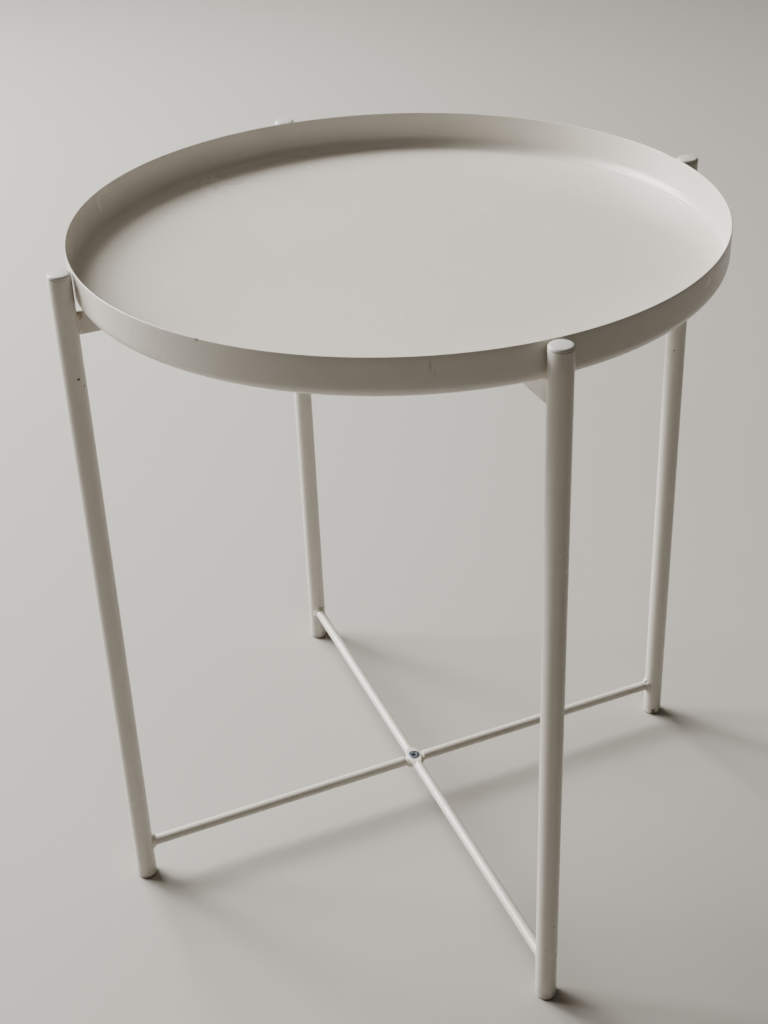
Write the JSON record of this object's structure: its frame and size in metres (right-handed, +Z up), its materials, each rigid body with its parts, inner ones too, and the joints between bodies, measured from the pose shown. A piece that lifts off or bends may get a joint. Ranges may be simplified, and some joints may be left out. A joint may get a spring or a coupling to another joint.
{
  "type": "tray table",
  "caption": "Round steel tray table: a lift-off tray with an upright rim sits between four slim tube legs on crossed bars, with a crossed rod stretcher near the floor.",
  "frame": {"origin": "floor level, under the centre of the tray", "axes": "+Z up; the legs stand on the diagonals of X and Y; the table has no front, and the side facing -Y is taken as the front"},
  "size_m": [0.4449, 0.445, 0.5244],
  "materials": {
    "tray_coat": "semi-matte off-white powder coat",
    "frame_coat": "semi-matte off-white powder coat",
    "plug_plastic": "smooth off-white moulded plastic",
    "glide_plastic": "worn off-white moulded plastic",
    "zinc": "zinc plated"
  },
  "bodies": {
    "frame": {"leg_front_right": "frame_coat", "top_plug_front_right": "plug_plastic", "foot_glide_front_right": "glide_plastic", "leg_front_left": "frame_coat", "top_plug_front_left": "plug_plastic", "foot_glide_front_left": "glide_plastic", "leg_back_left": "frame_coat", "top_plug_back_left": "plug_plastic", "foot_glide_back_left": "glide_plastic", "leg_back_right": "frame_coat", "top_plug_back_right": "plug_plastic", "foot_glide_back_right": "glide_plastic", "tray_bar_upper": "frame_coat", "stretcher_rod_upper": "frame_coat", "rod_welds_upper": "frame_coat", "bar_welds_upper": "frame_coat", "tray_bar_lower": "frame_coat", "stretcher_rod_lower": "frame_coat", "rod_welds_lower": "frame_coat", "bar_welds_lower": "frame_coat", "hub_screw": "zinc"},
    "tray": {"tray": "tray_coat"}
  },
  "joints": [
    {"name": "tray_lift", "type": "slide", "parent": "frame", "child": "tray", "axis": [0, 0, 1], "range_m": [0, 0.12]}
  ]
}
